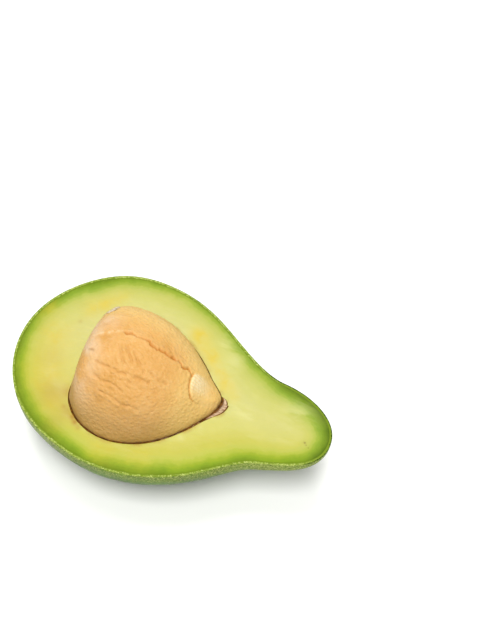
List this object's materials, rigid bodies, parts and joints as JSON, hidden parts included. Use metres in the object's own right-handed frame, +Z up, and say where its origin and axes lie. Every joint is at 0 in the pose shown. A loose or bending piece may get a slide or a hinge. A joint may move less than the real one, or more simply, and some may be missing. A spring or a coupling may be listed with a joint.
{
  "type": "halved avocado with its pit",
  "caption": "Half of a smooth green pear-shaped avocado, cut lengthwise and lying on its back, with its pit still in the hollow.",
  "frame": {"origin": "on the surface that it rests on, under the middle of its outline", "axes": "+Z up, square to the level cut face; +X along the fruit's axis from the butt to the neck; +Y across the face"},
  "size_m": [0.114, 0.0714, 0.0553],
  "materials": {
    "skin": "smooth dark green peel with a soft waxy gloss and tiny pale yellow dots",
    "flesh": "moist soft flesh, buttery yellow at the hollow and green next to the skin",
    "seed_coat": "thin dry brown papery coat, paler and greyer where it lifts off",
    "pit": "matt tan seed, finely wrinkled, with an open seam",
    "stem_scar": "dry corky scar, tan with a dark slit"
  },
  "bodies": {
    "root": {"skin": "skin", "flesh": "flesh", "seed_coat": "seed_coat", "pit": "pit", "stem_scar": "stem_scar"}
  },
  "joints": []
}
